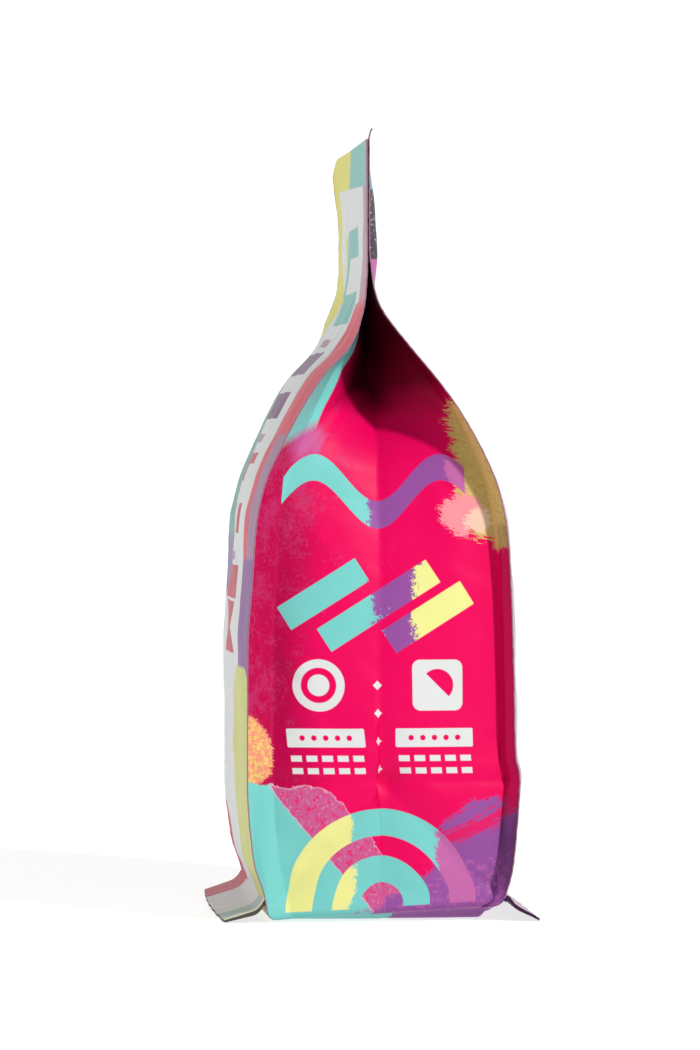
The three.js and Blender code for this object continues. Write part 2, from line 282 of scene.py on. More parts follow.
def wall(kind, side):
    """Points and film coordinates of one wall, its columns in the order of the way round the bag."""
    place = places(PANEL_STEPS if kind == "panel" else GUSSET_STEPS)
    points = (panel_points if kind == "panel" else gusset_points)(side, place, heights)
    across, up = film_across(points), film_up(points)
    if kind == "panel":
        away, height = np.array([0, side, 0]), panel_relief(side, place, heights)
    else:
        away, height = np.array([side, 0, 0]), gusset_relief(side, across, heights)
    pinned = np.minimum(1, (1 - np.abs(place)) / 0.04)
    pinned = pinned * smooth(heights, 0, 3) * (1 - smooth(heights, 247, TOP))
    points = points + outward(points, away) * (height * pinned)[..., None]
    if side > 0 and kind == "panel" or side < 0 and kind == "gusset":
        points, across, up = points[:, ::-1], across[:, ::-1], up[:, ::-1]
    return points, np.stack([across, up], axis=-1)


walls = [wall("panel", -1), wall("gusset", 1), wall("panel", 1), wall("gusset", -1)]
ring = np.concatenate([points for points, _ in walls], axis=1)
ring_film = np.concatenate([film for _, film in walls], axis=1)
count = ring.shape[1]
WALL_INKS = [FRONT_INK, GUSSET_INK, BACK_INK, GUSSET_INK]
vertices = [ring.reshape(-1, 3)]
faces, face_film, face_ink = [], [], []


def add_grid(first, columns, grid_rows, film, ink, closed=False, flip=False):
    """Quads over a grid of vertices that starts at index first; ink gives each column's material."""
    for r in range(grid_rows - 1):
        for i in range(columns if closed else columns - 1):
            n = (i + 1) % columns
            quad = [(r, i), (r, n), (r + 1, n), (r + 1, i)]
            if flip:
                quad = quad[::-1]
            faces.append([first + row * columns + col for row, col in quad])
            face_film.extend(film[row, col] for row, col in quad)
            face_ink.append(ink[i])


ring_ink = []
for (points, _), wall_ink in zip(walls, WALL_INKS):
    ring_ink += [wall_ink] * (points.shape[1] - 1) + [CUT_INK]
add_grid(0, count, len(heights), ring_film, ring_ink, closed=True)

# The base film spans from the front wall's lowest row to the back wall's; its ends are the gussets' rows
low = ring[0]
starts = np.cumsum([0] + [points.shape[1] for points, _ in walls])
front_row, near_row, back_row, far_row = [low[a:b] for a, b in zip(starts, starts[1:])]
across_base = (places(GUSSET_STEPS)[0] + 1) / 2


def span(front, back):
    """Rows of points from one row at the front to one at the back."""
    return front[None] * (1 - across_base)[:, None, None] + back[::-1][None] * across_base[:, None, None]


inner_base = span(front_row, back_row)
between = smooth(np.minimum(across_base, 1 - across_base), 0, 0.05)[:, None]
edge_x = near_row[:, 0][:, None]
inner_base[..., 0] *= 1 - between * (1 - 0.999 * edge_x / edge_x.max())
near_end = smooth(np.abs(inner_base[..., 0]), edge_x - SAG_EDGE, edge_x)
sagged = SAG_HEIGHT + near_row[:, 2][:, None] * near_end
inner_base[..., 2] = inner_base[..., 2] * (1 - between) + sagged * between
base = np.concatenate([far_row[::-1][:, None], inner_base, near_row[:, None]], axis=1)
first_base = count * len(heights)
vertices.append(base.reshape(-1, 3))
add_grid(first_base, base.shape[1], base.shape[0], base[..., :2], [BASE_INK] * base.shape[1], flip=True)

# The welded top edge, closed between the front and back plies
last = ring[-1]
front_top, near_top, back_top, far_top = [last[a:b] for a, b in zip(starts, starts[1:])]
top = np.concatenate([far_top[::-1][:, None], span(front_top, back_top), near_top[:, None]], axis=1)
vertices.append(top.reshape(-1, 3))
first_top = first_base + base.shape[0] * base.shape[1]
add_grid(first_top, top.shape[1], top.shape[0], top[..., :2], [CUT_INK] * top.shape[1])

film_mesh = bpy.data.meshes.new("film")
film_mesh.from_pydata((np.concatenate(vertices) * MM).tolist(), [], faces)
uv = film_mesh.uv_layers.new(name="film")
uv.data.foreach_set("uv", (np.array(face_film) * MM).astype(np.float32).ravel())
film_mesh.polygons.foreach_set("material_index", face_ink)
film = bpy.data.objects.new("film", film_mesh)
bpy.context.scene.collection.objects.link(film)


# The pouch's print: satin film printed on its inner side, with flat inks laid over each other. They are fields
# of colour with torn, brushed and sponged edges, and simple shapes on top; a few of them are painted shade, said
# so where they are made. Each wall has its own print, in millimetres on the film.
class Field:
    """A number that varies over the film. Arithmetic with it adds Math nodes; | and & are the union and the
    overlap of shapes, whose numbers are distances to an outline, negative inside."""

    def __init__(self, tree, socket):
        self.tree, self.socket = tree, socket

    def math(self, operation, *others):
        node = self.tree.nodes.new("ShaderNodeMath")
        node.operation = operation
        for slot, value in zip(node.inputs, (self, *others)):
            if isinstance(value, Field):
                self.tree.links.new(value.socket, slot)
            else:
                slot.default_value = value
        return Field(self.tree, node.outputs[0])

    def __add__(self, other):
        return self.math("ADD", other)

    def __sub__(self, other):
        return self.math("SUBTRACT", other)

    def __mul__(self, other):
        return self.math("MULTIPLY", other)

    def __neg__(self):
        return self.math("MULTIPLY", -1.0)

    def __abs__(self):
        return self.math("ABSOLUTE")

    def __or__(self, other):
        return self.math("MINIMUM", other)

    def __and__(self, other):
        return self.math("MAXIMUM", other)

    def sine(self):
        return self.math("SINE")

    def length(self, other):
        return (self * self + other * other).math("SQRT")

    def wrap(self, low, high):
        return self.math("WRAP", high, low)


def ink(red, green, blue, reflectance=0.75):
    """An ink's linear colour from the numbers 0-255 of its lit screen colour."""
    def linear(c):
        c /= 255
        return reflectance * (c / 12.92 if c <= 0.04045 else ((c + 0.055) / 1.055) ** 2.4)
    return (linear(red), linear(green), linear(blue), 1.0)


# The second ink on the next line is painted shade: crimson darkened where the gusset's face turns away from the
# key light.
CRIMSON, SHADE_CRIMSON, SALMON = ink(238, 0, 92), ink(184, 0, 72), ink(226, 92, 108)
TEAL, YELLOW, PURPLE = ink(122, 208, 202), ink(240, 238, 150), ink(152, 82, 160)
LILAC, MAUVE, WHITE = ink(196, 104, 168), ink(182, 150, 168), ink(226, 228, 227)
GOLD, ORANGE = ink(216, 184, 112), ink(238, 150, 118)
FILM_SHEEN = 0.08
FILM_ROUGHNESS, FILM_UNEVENNESS = 0.43, 0.10


class Print:
    """Inks laid over each other on one wall of film."""

    def __init__(self, name, ground):
        self.material = bpy.data.materials.new(name)
        self.material.use_nodes = True
        self.tree = self.material.node_tree
        self.shader = self.tree.nodes["Principled BSDF"]
        film_map = self.tree.nodes.new("ShaderNodeUVMap")
        film_map.uv_map = "film"
        split = self.tree.nodes.new("ShaderNodeSeparateXYZ")
        self.tree.links.new(film_map.outputs[0], split.inputs[0])
        self.vector = film_map.outputs[0]
        self.u = Field(self.tree, split.outputs[0]) * (1 / MM)
        self.v = Field(self.tree, split.outputs[1]) * (1 / MM)
        base = self.tree.nodes.new("ShaderNodeRGB")
        base.outputs[0].default_value = ground
        self.colour = base.outputs[0]

    def noise(self, size, detail=4.0, rough=0.6, shift=0.0):
        """Uneven values round zero, about -0.5 to 0.5, with grains of that size in millimetres."""
        return self.uneven(self.vector, 1000 / size, detail, rough, shift)

    def uneven(self, vector, scale, detail, rough, shift):
        """The noise behind grains and brush strokes."""
        node = self.tree.nodes.new("ShaderNodeTexNoise")
        node.noise_dimensions = "4D"
        node.inputs["W"].default_value = shift
        node.inputs["Scale"].default_value = scale
        node.inputs["Detail"].default_value = detail
        node.inputs["Roughness"].default_value = rough
        self.tree.links.new(vector, node.inputs["Vector"])
        return Field(self.tree, node.outputs["Fac"]) - 0.5

    def grains(self):
        """A fine and a coarse grain, and their sum with a finest one, which tears an edge by millimetres."""
        fine, coarse = self.noise(2.2, 6, 0.72), self.noise(9, 5, 0.65, 3.0)
        finest = self.noise(0.5, 2, 0.7, 7.0)
        return fine, coarse, coarse * 9 + fine * 6 + finest * 5

    def strokes(self, degrees, length, width, shift=0.0):
        """Uneven values like noise, drawn out along one direction, as a dry brush leaves them."""
        turn = self.tree.nodes.new("ShaderNodeMapping")
        turn.vector_type = "TEXTURE"
        turn.inputs["Rotation"].default_value = (0, 0, math.radians(degrees))
        turn.inputs["Scale"].default_value = (length / 1000, width / 1000, 1)
        self.tree.links.new(self.vector, turn.inputs["Vector"])
        return self.uneven(turn.outputs["Vector"], 1, 3, 0.6, shift)

    def lay(self, distance, colour, soft=0.12, strength=1.0):
        """Ink inside the outline; colour is an ink or another Print colour socket."""
        cover = (distance * (-0.5 / soft) + 0.5).math("MINIMUM", 1.0).math("MAXIMUM", 0.0)
        mix = self.tree.nodes.new("ShaderNodeMix")
        mix.data_type = "RGBA"
        self.tree.links.new((cover * strength).socket, mix.inputs[0])
        self.tree.links.new(self.colour, mix.inputs[6])
        if isinstance(colour, tuple):
            mix.inputs[7].default_value = colour
        else:
            self.tree.links.new(colour, mix.inputs[7])
        self.colour = mix.outputs[2]

    def blend(self, *steps):
        """A colour that changes from ink to ink: the first ink, then pairs of an outline and the next ink."""
        kept = self.colour
        base = self.tree.nodes.new("ShaderNodeRGB")
        base.outputs[0].default_value = steps[0]
        self.colour = base.outputs[0]
        for distance, colour in zip(steps[1::2], steps[2::2]):
            self.lay(distance, colour, soft=0.2)
        made, self.colour = self.colour, kept
        return made

    def disc(self, u, v, radius):
        """A disc, and below a ring, a box and a bar, as distances to their outlines."""
        return (self.u - u).length(self.v - v) - radius

    def ring(self, u, v, radius, half):
        return abs(self.disc(u, v, radius)) - half

    def box(self, u, v, half_u, half_v, rounding=0.4):
        du = abs(self.u - u) - (half_u - rounding)
        dv = abs(self.v - v) - (half_v - rounding)
        return (du & 0.0).length(dv & 0.0) + ((du & dv) | 0.0) - rounding

    def bar(self, start, end, half, rounding=0.3):
        (au, av), (bu, bv) = start, end
        length = math.hypot(bu - au, bv - av)
        cu, cv = (au + bu) / 2, (av + bv) / 2
        su, sv = (bu - au) / length, (bv - av) / length
        along = abs((self.u - cu) * su + (self.v - cv) * sv) - (length / 2 - rounding)
        across = abs((self.v - cv) * su - (self.u - cu) * sv) - (half - rounding)
        return (along & 0.0).length(across & 0.0) + ((along & across) | 0.0) - rounding

    def beyond(self, point, degrees):
        """Negative past a straight line through the point; degrees is the direction that points past it."""
        a = math.radians(degrees)
        return -((self.u - point[0]) * math.cos(a) + (self.v - point[1]) * math.sin(a))

    def finish(self):
        self.tree.links.new(self.colour, self.shader.inputs["Base Color"])
        roughness = self.noise(5, 3, 0.6, 9.0) * FILM_UNEVENNESS + FILM_ROUGHNESS
        self.tree.links.new(roughness.socket, self.shader.inputs["Roughness"])
        self.shader.inputs["Specular IOR Level"].default_value = FILM_SHEEN
        return self.material


def gusset_print():
    p = Print("gusset_print", CRIMSON)
    u, v = p.u, p.v
    fine, coarse, torn = p.grains()
    speckle = p.noise(0.9, 3, 0.7, 5.0)

    # The ground: painted shade at the left, with mottled edges, where the face turns away from the key light;
    # lilac mottling over it; and painted shade in the pocket where the film folds in under the neck
    p.lay((u + 25) + torn * 1.6, SHADE_CRIMSON, soft=7, strength=0.9)
    p.lay(p.disc(-34, 118, 13) + torn * 2, SHADE_CRIMSON, soft=6, strength=0.5)
    mottling = coarse * 24 + speckle * 24 + 3.4 + (u + 8) * 0.12 + abs(v - 148) * 0.03
    p.lay(mottling, LILAC, soft=2, strength=0.17)
    # Painted shade in the pocket under the neck: dark crimson over its right flank, darker at its top and
    # near-black in its middle.
    p.lay((-(v - 173) & -(u + 3)) + coarse * 6, ink(112, 0, 30), soft=9, strength=0.9)
    p.lay(-(v - 188), ink(70, 0, 20), soft=10, strength=0.8)
    p.lay((-(v - 174) & (u - 3) & -(u + 16)) + coarse * 5, ink(30, 0, 8), soft=6, strength=0.92)

    # Fields with torn, brushed and sponged edges
    brushed = p.strokes(172, 7, 0.7) * 14 + p.strokes(140, 5, 0.6, 2.0) * 9 + fine * 3
    gold = (p.box(40, 148, 15, 25, 9) + brushed) | (p.box(45, 135, 8, 16, 4) + torn)
    p.lay(gold, GOLD, soft=0.4)
    p.lay((gold + 1) & (p.strokes(150, 4, 0.5, 4.0) * 26 + 1.6), ink(182, 150, 84), soft=1, strength=0.7)
    p.lay((gold + 2) & (speckle * 26 + 2.4), ink(236, 214, 130), soft=1.2, strength=0.6)
    p.lay(p.disc(27, 131, 7) + torn * 0.8 + brushed * 0.5, ink(246, 150, 160), soft=0.4)
    p.lay(p.disc(32, 129, 4.4) + torn * 0.8 + brushed * 0.4, ink(250, 214, 186), soft=0.5, strength=0.8)
    p.lay(p.disc(-27, 157, 7) + torn, LILAC, soft=2.5, strength=0.75)
    p.lay((p.beyond((-20.5, 176), 172) & p.beyond((-24, 163), 118) * 0.16) + fine * 0.6, TEAL, soft=0.4)
    orange = p.disc(-49, 54, 12.5) + torn * 0.6 + brushed * 0.3
    p.lay(orange, ORANGE, soft=0.3)
    p.lay((orange + 1) & (speckle * 24 + 0.6), ink(236, 220, 110), soft=0.6, strength=0.8)
    p.lay((p.beyond((-25, 30), 222) & p.beyond((0, 44), 270)) + coarse * 4 + fine * 1.5, TEAL, soft=0.2)
    lilac = (p.beyond((-4, 24), 220) & p.beyond((-22, 42), 265)) + coarse * 9 + fine * 2.5
    lilac = lilac & (p.beyond((-26, 28), 40) + fine * 2)
    p.lay(lilac, ink(206, 92, 148), soft=0.2)
    p.lay((lilac + 0.6) & (fine * 30 + 1.2), CRIMSON, soft=0.4, strength=0.75)
    p.lay((lilac + 0.6) & (speckle * 26 + 2.6), ink(232, 170, 196), soft=0.8, strength=0.5)
    p.lay(abs(lilac) - 0.18, ink(236, 178, 200), soft=0.12, strength=0.8)
    p.lay(p.disc(36, 20, 19) + torn * 0.8 + p.strokes(30, 8, 0.8) * 8, PURPLE, soft=0.3)
    p.lay(p.beyond((10, 12), -58) + torn * 1.2, PURPLE, soft=0.3)
    streak = p.bar((12, 22), (46, 37), 2.2) + p.strokes(24, 10, 0.9, 3.0) * 13
    p.lay(streak, CRIMSON, soft=0.6, strength=0.85)
    p.lay((p.beyond((4, 9), -70) + torn) & (fine * 30 + 1), LILAC, soft=0.6, strength=0.6)

    # A wavy ribbon across the shoulder, three slanted bars under it and two arches at the foot
    ribbon = abs(v - 139 - ((u + 32) * 0.150).sine() * 8) - 4.6
    p.lay(ribbon & (abs(u + 2) - 30), p.blend(TEAL, -(u + 3 + torn), PURPLE, -(u - 22 + torn), LILAC))
    bars = p.bar((-31, 97), (-6, 113), 4.4) | p.bar((-18, 90), (17, 112.5), 4.4)
    bars = bars | p.bar((3, 89.5), (28, 105.5), 4.4)
    p.lay(bars, p.blend(TEAL, -(u + 2 + torn * 2), PURPLE, -(u - 12 + torn * 2), YELLOW))
    arches = (p.ring(-2, 4.5, 27, 4.3) | p.ring(-2, 4.5, 12, 4.3)) & -(v - 4)
    p.lay(arches, p.blend(YELLOW, -(u + 12 + torn), TEAL, -(u - 17 + torn), LILAC))

    # White shapes: a disc, a rounded tile, a column of diamonds, two label bars and rows of dashes
    p.lay(p.disc(-20, 75.5, 8.4), WHITE)
    p.lay(p.ring(-20, 75.5, 4.6, 1.1), CRIMSON)
    p.lay(p.box(18.5, 75.5, 8.2, 8.2, 2.6), WHITE)
    p.lay(p.disc(18.5, 75.5, 5.2) & -(u - 18.5 + (v - 75.5)), CRIMSON)
    diamonds = abs(u + 1) + abs((v - 48.5).wrap(-4.5, 4.5)) - 1.5
    p.lay(diamonds & (abs(v - 64.5) - 18.2), WHITE)
    p.lay(p.box(-19, 58.6, 12.6, 3, 0.5) | p.box(17.3, 58.6, 12.6, 3, 0.5), WHITE)
    for middle in (-19, 17.3):
        dots = abs((u - middle).wrap(-1.9, 1.9)).length(v - 58.6) - 0.9
        p.lay(dots & (abs(u - middle) - 9.4), CRIMSON)
        dashes = (abs((u - middle).wrap(-2.5, 2.5)) - 1.75) & (abs(abs(v - 50) - 2) - 0.95)
        p.lay(dashes & (abs(u - middle) - 12.4), WHITE)

    # A darker tone along the back weld, deepest at the foot: painted shade of the lip and the strip beside it,
    # which lie in shade from the key light
    p.lay((-(u - 40.5) & (v - 128)) + coarse * 2, ink(50, 0, 40), soft=1.2, strength=0.36)
    p.lay((-(u - 40.5) & (v - 34) * 0.2) + coarse * 2, ink(46, 22, 54), soft=1.6, strength=0.5)
    return p.finish()


def front_print():
    p = Print("front_print", TEAL)
    u, v = p.u, p.v
    fine, coarse, torn = p.grains()
    brick, sea, straw = ink(200, 84, 98), ink(132, 196, 188), ink(228, 222, 104)

    # The near margin: mauve down the neck, salmon over the shoulder, greyed lilac, then a yellow tongue
    p.lay(-(u - 52), MAUVE)
    p.lay(-(u - 52) & p.beyond((0, 236), -90) * 0.2, ink(198, 158, 166), soft=1)
    p.lay((-(u - 44) & p.beyond((0, 213), -90) * 0.5) + torn * 0.4, SALMON, soft=1)
    p.lay((-(u - 53) & p.beyond((0, 162), -90)) + torn * 0.5, ink(176, 136, 164), soft=0.6)
    p.lay((-(u - 41) & p.beyond((0, 120), -90)) + torn * 0.6, ink(150, 104, 160), soft=0.6)

    # A white label band with blocks of colour, and the seal printed teal and yellow
    p.lay((u - 44) | ((u - 51) & -(v - 213)), WHITE)
    for middle_u, middle_v, half_u, half_v, colour in [
            (10.5, 234, 23, 4.8, sea), (-17, 231, 3, 6, straw), (-9, 222, 4.5, 8, sea),
            (17, 211.5, 24, 5.6, sea), (2, 199, 17, 1.6, MAUVE), (0, 190, 30, 5, ink(134, 102, 136)),
            (-2, 173, 30, 5, ink(126, 84, 124)), (2, 161, 15, 1.6, MAUVE), (0, 150.5, 26, 5, brick),
            (22, 147, 12, 4.5, WHITE), (-12, 133, 4, 5, brick), (4, 133, 4, 5, brick),
            (20, 133, 4, 5, brick), (4, 120.5, 13, 1.4, MAUVE), (6, 112, 22, 5.5, brick)]:
        p.lay(p.box(middle_u, middle_v, half_u, half_v, 0.5), colour)
    p.lay((abs(u - 6) - 7 - abs(v - 97) * 1.4) & (abs(v - 97) - 8.5), brick)

    # The far margin, wide under the neck and at the shoulder: yellow, teal, greyed purple and crimson
    neck = (p.beyond((-54, 233), 249.8) & p.beyond((-5, 215), 108.4)) | ((u + 58) & -(v - 195))
    shoulder = (p.beyond((-30, 180), 226.8) & (u - 2) & -(v - 118)) | ((u + 50) & -(v - 118))
    foot = p.beyond((2, 118), 115.8) & (v - 118.5)
    far = (neck | shoulder | foot) + fine
    p.lay(far, p.blend(ink(128, 176, 170), p.beyond((0, 200), 90) + torn * 2, straw,
                       p.beyond((0, 128), -90) + torn * 2, ink(150, 132, 168),
                       p.beyond((0, 100), -90) + torn, WHITE))
    p.lay(p.box(48, 38, 22, 47, 12) + fine, ink(214, 216, 132), soft=0.6)
    p.lay(p.beyond((-64, 62), 219) + coarse * 3, ink(206, 24, 78))
    p.lay(-(v - 252.6) - u * 0.03, p.blend(straw, -(u + 8 + coarse * 6 - (v - 250) * 0.6), sea))
    p.lay(-(u - 62) & -(v - 236), MAUVE)
    return p.finish()


def back_print():
    p = Print("back_print", CRIMSON)
    u, v = p.u, p.v
    fine, _, torn = p.grains()
    p.lay(p.beyond((0, 196), 90) + torn * 1.4 - (u * 0.3), ink(118, 176, 178), soft=0.3)
    p.lay(p.beyond((0, 30), -90) + torn * 1.6 + (u * 0.3), PURPLE, soft=0.3)
    p.lay(p.disc(-46, 60, 26) + torn * 1.2, YELLOW, soft=0.3)
    p.lay(-(u - 50) & (v - 190), ink(206, 186, 196))
    p.lay(p.box(2, 122, 42, 48, 3), WHITE)
    for middle, colour in [(158, CRIMSON), (141, TEAL), (124, PURPLE), (107, SALMON), (90, TEAL)]:
        p.lay(p.box(2, middle, 35, 5, 1.2), colour)

    # A dark panel across the neck with white and lilac strips
    p.lay(p.box(0, 240, 80, 13.5, 0.2) + fine * 2, ink(74, 68, 78))
    p.lay((abs(v - 243) - 2.6) & (abs(u + 4) - 66), WHITE)
    p.lay((p.noise(1.6, 4, 0.7, 2.0) * 30 + 2.6) & (abs(v - 240) - 13), ink(190, 188, 196), soft=0.5)
    p.lay(abs(v - 227.5) - 3.5, LILAC)
    p.lay(abs(v - 220.5) - 3.5, ink(170, 172, 176))
    return p.finish()


def base_print():
    p = Print("base_print", CRIMSON)
    fine, coarse, _ = p.grains()
    brushed = coarse * 9 + fine * 6
    p.lay(-(abs(p.u) - 34) + brushed, PURPLE)
    p.lay((-(abs(p.u) - 34) & (p.v - 4)) + brushed, TEAL)
    return p.finish()


def cut_edge_print():
    p = Print("cut_edge", ink(186, 158, 168))
    p.lay(p.noise(0.8, 2, 0.7) * 30 + 2, ink(120, 84, 104), soft=1, strength=0.8)
    p.lay(p.beyond((0, 50), -90), ink(104, 66, 112), soft=3)
    # Painted shade: the cut edges go near-black at the neck, where the gap between the plies lies in shade.
    p.lay(p.beyond((0, 212), 90), ink(44, 26, 34), soft=4)
    return p.finish()


def plain_print(name, colour, roughness):
    """Film or paper of one ink all over."""
    material = bpy.data.materials.new(name)
    material.use_nodes = True
    shader = material.node_tree.nodes["Principled BSDF"]
    shader.inputs["Base Color"].default_value = colour
    shader.inputs["Roughness"].default_value = roughness
    shader.inputs["Specular IOR Level"].default_value = FILM_SHEEN
    return material


for material in (front_print(), gusset_print(), back_print(), base_print(), cut_edge_print()):
    film_mesh.materials.append(material)
film_mesh.shade_smooth()
film_mesh.set_sharp_from_angle(angle=math.radians(48))
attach(film, "root")
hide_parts("bag")


# The cut edges: the plies of the four upright welds end together in a thin rib of cut film, left a little uneven
# by the blade. Each rib is swept along its edge from the foot to the top.
RIB_SEED = 11
RIB_START_ROW = 6  # the walls' first rows turn under the base


def cut_edge_tree():
    tree = bpy.data.node_groups.new("cut_edge_rib", "GeometryNodeTree")
    inputs = {}
    for name, kind, value in [
            ("Edges", "Geometry", None), ("Rib width", "Float", 0.00042), ("Rib height", "Float", 0.0004),
            ("Spacing", "Float", 0.0013), ("Unevenness", "Vector", (0.00005, 0.00007, 0.0)),
            ("Seed", "Int", RIB_SEED), ("Material", "Material", None)]:
        socket = tree.interface.new_socket(name, in_out="INPUT", socket_type="NodeSocket" + kind)
        inputs[name] = socket.identifier
        if value is not None:
            socket.default_value = value
    tree.interface.new_socket("Ribs", in_out="OUTPUT", socket_type="NodeSocketGeometry")
    given, result = tree.nodes.new("NodeGroupInput"), tree.nodes.new("NodeGroupOutput")
    path, even, chance, flip, place, section, sweep, real, paint = [tree.nodes.new(kind) for kind in (
        "GeometryNodeMeshToCurve", "GeometryNodeResampleCurve", "FunctionNodeRandomValue",
        "ShaderNodeVectorMath", "GeometryNodeSetPosition", "GeometryNodeCurvePrimitiveQuadrilateral",
        "GeometryNodeCurveToMesh", "GeometryNodeRealizeInstances", "GeometryNodeSetMaterial")]
    even.mode = "LENGTH"
    chance.data_type = "FLOAT_VECTOR"
    flip.operation = "SCALE"
    flip.inputs["Scale"].default_value = -1
    sweep.inputs["Fill Caps"].default_value = True
    for source, target in [
            (given.outputs["Edges"], path.inputs["Mesh"]),
            (path.outputs["Curve"], even.inputs["Curve"]),
            (given.outputs["Spacing"], even.inputs["Length"]),
            (given.outputs["Unevenness"], chance.inputs["Max"]),
            (given.outputs["Unevenness"], flip.inputs[0]),
            (flip.outputs[0], chance.inputs["Min"]),
            (given.outputs["Seed"], chance.inputs["Seed"]),
            (even.outputs["Curve"], place.inputs["Geometry"]),
            (chance.outputs["Value"], place.inputs["Offset"]),
            (given.outputs["Rib width"], section.inputs["Width"]),
            (given.outputs["Rib height"], section.inputs["Height"]),
            (place.outputs["Geometry"], sweep.inputs["Curve"]),
            (section.outputs["Curve"], sweep.inputs["Profile Curve"]),
            (sweep.outputs["Mesh"], real.inputs["Geometry"]),
            (real.outputs["Geometry"], paint.inputs["Geometry"]),
            (given.outputs["Material"], paint.inputs["Material"]),
            (paint.outputs["Geometry"], result.inputs["Ribs"])]:
        tree.links.new(source, target)
    return tree, inputs


def make_cut_edges(material):
    columns = []
    for (points, _), (following, _) in zip(walls, walls[1:] + walls[:1]):
        columns.append((points[RIB_START_ROW:, -1] + following[RIB_START_ROW:, 0]) / 2)
    rows = len(columns[0])
    links = [(k * rows + i, k * rows + i + 1) for k in range(len(columns)) for i in range(rows - 1)]
    path_mesh = bpy.data.meshes.new("edge_paths")
    path_mesh.from_pydata((np.concatenate(columns) * MM).tolist(), links, [])
    source = bpy.data.objects.new("edge_paths", path_mesh)
    bpy.context.scene.collection.objects.link(source)
    tree, inputs = cut_edge_tree()
    maker = source.modifiers.new("ribs", "NODES")
    maker.node_group = tree
    maker[inputs["Seed"]] = RIB_SEED
    maker[inputs["Material"]] = material
    ready = source.evaluated_get(bpy.context.evaluated_depsgraph_get())
    mesh = bpy.data.meshes.new_from_object(ready)
    mesh.name = "cut_edges"
    bpy.data.objects.remove(source)
    ribs = bpy.data.objects.new("cut_edges", mesh)
    bpy.context.scene.collection.objects.link(ribs)
    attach(ribs, "root")
    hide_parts("bag")


make_cut_edges(plain_print("rib", ink(160, 116, 136), 0.6))


# The foot fins: below the front and back panels the film is welded to the base film and the seam is bent
# outwards, so that the bag stands between two fins. Each is two plies of film, with its upper face in inks of its
# own, and its underside and cut edge painted dark as shade.
FIN_PLIES, FIN_ROOT = 0.8, 0.9  # thickness at the tip, and what is added to it towards the weld
FIN_INSET = 0.4  # how far the fin's ends stay inside the panel's edges
RIPPLE, RIPPLE_RATE = 0.18, 0.31  # height and pitch of the fin's waviness
FIN_STEPS_OUT, FIN_STEPS_ALONG = 26, 73
FIN_FACE, FIN_UNDER, FIN_EDGE = range(3)


def make_foot(name, side, tip, wave, face, inks):
    """face is the upper face's profile (distance from the middle plane, height) and tip its end; wave is how
    much further the fin's middle reaches than its ends."""
    upper = profile(face)
    reach = np.linspace(face[0][0], tip, FIN_STEPS_OUT)
    x = np.linspace(-(HALF_WIDTH - FIN_INSET), HALF_WIDTH - FIN_INSET, FIN_STEPS_ALONG)
    middle = 1 - (x[:, None] / HALF_WIDTH) ** 2
    waved = reach[None, :] + wave * middle * ((reach - reach[0]) / (tip - reach[0]))
    ply = FIN_PLIES + FIN_ROOT * np.clip((tip - reach) / (tip - face[1][0]), 0, 1)
    ripple = RIPPLE * np.sin(x[:, None] * RIPPLE_RATE) * smooth(reach, face[1][0], tip)[None, :]
    over = np.maximum(0.25, upper(reach)[None, :] + ripple)
    under = np.maximum(0, over - ply[None, :])
    across = np.broadcast_to(x[:, None], waved.shape)
    sheets = [np.stack([across, side * waved, height], axis=-1) for height in (over, under)]
    loop = np.concatenate([sheets[0], sheets[1][:, ::-1]], axis=1)
    points, columns = loop.reshape(-1, 3), loop.shape[1]
    quads, kinds = [], []
    for i in range(len(x) - 1):
        for j in range(columns):
            n = (j + 1) % columns
            quad = [i * columns + j, i * columns + n, (i + 1) * columns + n, (i + 1) * columns + j]
            quads.append(quad if side > 0 else quad[::-1])
            kinds.append(FIN_FACE if j < len(reach) - 1 else FIN_EDGE if j == len(reach) - 1 else FIN_UNDER)
    for i in (0, len(x) - 1):
        for j in range(len(reach) - 1):
            first, end = i * columns, i * columns + columns
            quad = [first + j, first + j + 1, end - 2 - j, end - 1 - j]
            quads.append(quad if (i == 0) == (side < 0) else quad[::-1])
            kinds.append(FIN_EDGE)
    mesh = bpy.data.meshes.new(name)
    mesh.from_pydata((points * MM).tolist(), [], quads)
    film_map = mesh.uv_layers.new(name="film")
    corners = np.array([points[k, [0, 1]] for quad in quads for k in quad]) * MM
    film_map.data.foreach_set("uv", corners.astype(np.float32).ravel())
    mesh.polygons.foreach_set("material_index", kinds)
    for material in inks:
        mesh.materials.append(material)
    mesh.shade_smooth()
    mesh.set_sharp_from_angle(angle=math.radians(40))
    foot = bpy.data.objects.new(name, mesh)
    bpy.context.scene.collection.objects.link(foot)
    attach(foot, "root")
    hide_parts("bag")


def foot_print():
    p = Print("foot_print", ink(196, 40, 70))
    p.lay(-(p.u + 30), ink(214, 208, 208))
    p.lay(-(p.u - 41), ink(160, 182, 176))
    p.lay(-(p.u - 61), ink(226, 226, 190))
    return p.finish()


# Painted shade: the front fin's cut edge and underside are dark grey, as they lie in shade under the fin.
foot_cut = plain_print("foot_cut", ink(84, 78, 74), 0.6)
make_foot(
    "front_foot", -1, 50.2, 1.6, [(36.9, 7.4), (37.5, 7.6), (38.3, 6.2), (40.4, 4.2), (44, 2.9), (50.2, 0.9)],
    (foot_print(), plain_print("foot_under", ink(60, 62, 64), 0.5), foot_cut))
# Painted shade: the back fin's underside and cut edge are dark purple, the purple print as it looks in shade
# under the fin.
make_foot(
    "back_foot", 1, 51.4, 0.4, [(40.3, 8), (41, 8.4), (43.6, 5.6), (46.7, 3.6), (49.6, 2), (51.4, 0.8)],
    (plain_print("back_foot_print", ink(214, 196, 206), 0.5),
     plain_print("back_foot_under", ink(58, 30, 66), 0.5),
     plain_print("back_foot_edge", ink(58, 30, 66), 0.5)))


# The torn tip: a small tip of film left standing at the near back corner of the sealed top, where the pouch was
# cut from the web. It is one ply of the back panel, bent slightly back.
TIP_ROWS, TIP_COLUMNS, TIP_PLY = 13, 7, 0.34


